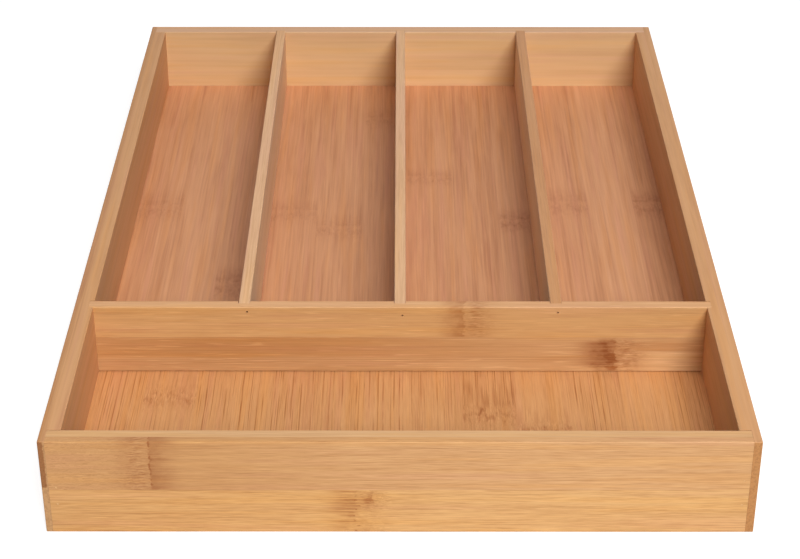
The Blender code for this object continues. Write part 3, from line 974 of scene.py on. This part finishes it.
CROSS_STAVES = (
    Stave("cross_upper", CROSS_TONE, CROSS_TOP_TONE, END_TONE, CROSS_LOOK,
          (Knuckle(30.5 * MM, 42 * MM, 11 * MM, 1.5 * MM, -1, 1.0, CROSS_MARKS),)),
    Stave("cross_lower", CROSS_LOW_TONE, CROSS_TOP_TONE, END_TONE, CROSS_LOW_LOOK,
          (Knuckle(103.5 * MM, 21 * MM, 9 * MM, 2 * MM, -1, 1.0, CROSS_LOW_MARKS),),
          (Patch(-75 * MM, 25.6 * MM, 110 * MM, 5.4 * MM, (0.87, 0.755, 0.61), 1.0),
           Patch(-85 * MM, 15 * MM, 90 * MM, 5 * MM, (0.90, 0.86, 0.83), 1.0),
           Patch(95 * MM, 22 * MM, 9 * MM, 7 * MM, (0.73, 0.60, 0.54), 0.95),
           Patch(128 * MM, 26 * MM, 18 * MM, 2.4 * MM, (0.92, 0.84, 0.77), 1.0),
           # Lightens the lower stave's right end, where the right wall's shadow falls: painted light
           Patch(132 * MM, 16.5 * MM, 18 * MM, 6 * MM, (1.25, 1.40, 1.54), 0.8))),
)


def add_cross_divider():
    node = "cross_divider"
    low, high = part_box(node)
    piece = eased_bar(node, low, high, X, EASE, BUTT_EASE)
    carve(piece, divider_housings)
    drill_pins(piece, low, high)

    def stave_at(centre):
        return int(centre.z < CROSS_SEAM_HEIGHT)

    materials = [bamboo(stave, X, Z) for stave in CROSS_STAVES]
    finish_board(piece, node, ((Z, CROSS_SEAM_HEIGHT),), stave_at, materials)


def add_long_divider(name):
    node = f"{name}_long_divider"
    low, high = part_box(node)
    low.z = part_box("base_panel")[1].z + FLOOR_SEAM
    piece = eased_bar(node, low, high, Y, EASE, BUTT_EASE)
    drill_pins(piece, low, high)
    top = LONG_DARK_TONE if name == "right" else LONG_TOP_TONE
    stave = Stave(f"{name}_long_stave", LONG_TONE, top, END_TONE, EDGE_LOOK)
    finish_board(piece, node, (), lambda centre: 0, [bamboo(stave, Y, Z)])


BASE_STRIPS = Strips(25.2 * MM, 4.2 * MM, 11.0, 16197.0)
STRIP_EDGE = 0.5 * MM

# The cane's nodes on the base: places along and across it in millimetres, then size and marks
FRONT_FLOOR_NODES = (
    (-143, 42.0, 1.5, STRONG_MARKS),
    (-128, -109.2, 1.5, SOFT_MARKS),
    (-157, 67.2, 1.0, SOFT_MARKS),
)
REAR_FLOOR_NODES = (
    (57, -134.4, 1.3, FAINT_MARKS),
    # Beside the left long divider's shaded side: its own stain with painted shade of the divider
    (-28, -84.0, 1.3, DARK_MARKS),
    (51, -58.8, 1.0, FAINT_MARKS),
    (33, -33.6, 1.1, FAINT_MARKS),
    (170, -8.4, 1.1, FAINT_MARKS),
    (92, 16.8, 0.8, FAINT_MARKS),
    # Beside the right long divider's shaded side: its own stain with painted shade of the divider
    (40, 67.2, 1.0, DARK_MARKS),
    (62, 92.4, 1.3, FAINT_MARKS),
    (60, 142.8, 1.3, DARK_MARKS),
)


def strip_knuckles(nodes):
    """The nodes of the cane on the base, each as wide as its strip."""
    half = BASE_STRIPS.width / 2
    return tuple(Knuckle(along * MM, across * MM, half, STRIP_EDGE, 1, size, marks)
                 for along, across, size, marks in nodes)


BASE_STAVES = (
    Stave("base_front", BASE_FRONT_TONE, BASE_FRONT_TONE, END_TONE, FLOOR_LOOK,
          strip_knuckles(FRONT_FLOOR_NODES)),
    Stave("base_rear", BASE_TONE, BASE_TONE, END_TONE, REAR_FLOOR_LOOK, strip_knuckles(REAR_FLOOR_NODES)),
)


def add_base_panel():
    node = "base_panel"
    low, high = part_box(node)
    cross_low, cross_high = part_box("cross_divider")
    behind = (cross_low.y + cross_high.y) / 2
    piece = eased_bar(node, low, high, Y, PANEL_EASE, PANEL_EASE)

    def stave_at(centre):
        is_front_floor = centre.y < behind and centre.z > (low.z + high.z) / 2
        return int(not is_front_floor)

    materials = [bamboo(stave, Y, X, BASE_STRIPS) for stave in BASE_STAVES]
    finish_board(piece, node, ((Y, behind),), stave_at, materials)


def filler_profile(depth):
    """Radius and height of each ring of a plug, from its crown down to the pin."""
    shares = [(step + 1) / FILLER_RINGS for step in range(FILLER_RINGS)]
    crown = [(FILLER_RADIUS * share, -FILLER_CROWN * share ** 2) for share in shares]
    return [*crown, (FILLER_RADIUS, TIGHT - depth)]


def add_filler(pin, face, material):
    """A plug of filler over a pin, flush with the board's face."""
    head, tail = pin_axis(pin)
    way = (tail - head).normalized()
    depth = abs(head.y - face)
    head.y = face
    place = Matrix.Translation(head) @ (-way).to_track_quat("Z", "Y").to_matrix().to_4x4()
    builder = bmesh.new()
    rings = []
    for radius, height in filler_profile(depth):
        ring = []
        for step in range(HOLE_SIDES):
            angle = 2 * math.pi * step / HOLE_SIDES
            point = Vector((radius * math.cos(angle), radius * math.sin(angle), height))
            ring.append(builder.verts.new(place @ point))
        rings.append(ring)
    top = builder.verts.new(head)
    for step in range(HOLE_SIDES):
        turn = (step + 1) % HOLE_SIDES
        builder.faces.new((top, rings[0][step], rings[0][turn]))
        for ring, after in zip(rings, rings[1:]):
            builder.faces.new((ring[step], after[step], after[turn], ring[turn]))
    builder.faces.new(rings[-1])
    bmesh.ops.recalc_face_normals(builder, faces=builder.faces)
    piece = piece_from(f"{pin}_filler", builder)
    shade(piece)
    piece.data.materials.append(material)
    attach(piece, ROOT)


def add_fillers():
    """Plugs over the pins in the four corners."""
    material = small_stuff(PUTTY)
    faces = {"front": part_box("front_board")[0].y, "back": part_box("back_board")[1].y}
    for pin in pin_nodes():
        end = pin.split("_")[0]
        if end in faces:
            add_filler(pin, faces[end], material)


def dress_pins():
    material = small_stuff(WIRE)
    for pin in pin_nodes():
        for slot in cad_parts[pin].material_slots:
            slot.material = material


def add_floor():
    """A pale floor that keeps the tray's shadow and shows white around it."""
    graph = Graph(bpy.data.materials.new("studio_floor"))
    graph.tree.nodes.remove(graph.tree.nodes["Principled BSDF"])
    plain = graph.add("ShaderNodeBsdfDiffuse")
    plain.inputs["Color"].default_value = FLOOR_COLOUR
    shown = graph.add("ShaderNodeBsdfDiffuse")
    shown.inputs["Color"].default_value = FLOOR_SHOWN
    glow = graph.add("ShaderNodeEmission")
    glow.inputs["Strength"].default_value = FLOOR_GLOW
    both = graph.add("ShaderNodeAddShader")
    graph.feed(both.inputs[0], shown.outputs[0])
    graph.feed(both.inputs[1], glow.outputs[0])
    mixed = graph.either(graph.shown_to_eye(), plain.outputs[0], both.outputs[0])
    graph.feed(graph.tree.nodes["Material Output"].inputs["Surface"], mixed)

    builder = bmesh.new()
    bmesh.ops.create_grid(builder, x_segments=FLOOR_CELLS, y_segments=FLOOR_CELLS, size=FLOOR_HALF)
    floor = piece_from("studio_floor", builder)
    floor.location.z = cad_bounds[0].z - TIGHT
    floor.data.materials.append(graph.owner)


def add_world():
    """Soft light from all around, with plain white behind the tray."""
    world = bpy.data.worlds.new("studio_world")
    bpy.context.scene.world = world
    graph = Graph(world)
    light = graph.tree.nodes["Background"]
    light.inputs["Color"].default_value = WHITE
    light.inputs["Strength"].default_value = WORLD_STRENGTH
    white = graph.add("ShaderNodeBackground")
    white.inputs["Color"].default_value = WHITE
    white.inputs["Strength"].default_value = 1.0
    mixed = graph.either(graph.shown_to_eye(), light.outputs[0], white.outputs[0])
    graph.feed(graph.tree.nodes["World Output"].inputs["Surface"], mixed)


def add_lamp(lamp):
    """A round white lamp that points at the lamps' target."""
    data = bpy.data.lights.new(lamp.name, "AREA")
    data.shape = "DISK"
    data.size = lamp.size
    data.energy = lamp.power
    item = bpy.data.objects.new(lamp.name, data)
    item.location = lamp.place
    item.rotation_mode = "QUATERNION"
    item.rotation_quaternion = (LAMP_TARGET - lamp.place).to_track_quat("-Z", "Y")
    bpy.context.scene.collection.objects.link(item)


def add_camera():
    data = bpy.data.cameras.new("camera")
    data.sensor_fit = "HORIZONTAL"
    data.sensor_width = CAMERA_SENSOR
    data.lens = CAMERA_LENS
    data.clip_start = CAMERA_NEAR
    data.clip_end = CAMERA_FAR
    camera = bpy.data.objects.new("camera", data)
    camera.location = CAMERA_PLACE
    camera.rotation_euler = (math.pi / 2 - CAMERA_PITCH, 0.0, CAMERA_YAW)
    bpy.context.scene.collection.objects.link(camera)
    bpy.context.scene.camera = camera


add_camera()
for side in SIDES:
    add_side_board(side)
add_end_board("front_board", FRONT_SEAM_HEIGHT, FRONT_STAVES)
add_end_board("back_board", BACK_SEAM_HEIGHT, BACK_STAVES)
add_base_panel()
add_cross_divider()
for name in LONG_DIVIDERS:
    add_long_divider(name)
add_fillers()
dress_pins()
add_floor()
add_world()
for lamp in LAMPS:
    add_lamp(lamp)
bpy.context.scene.view_settings.view_transform = "Standard"
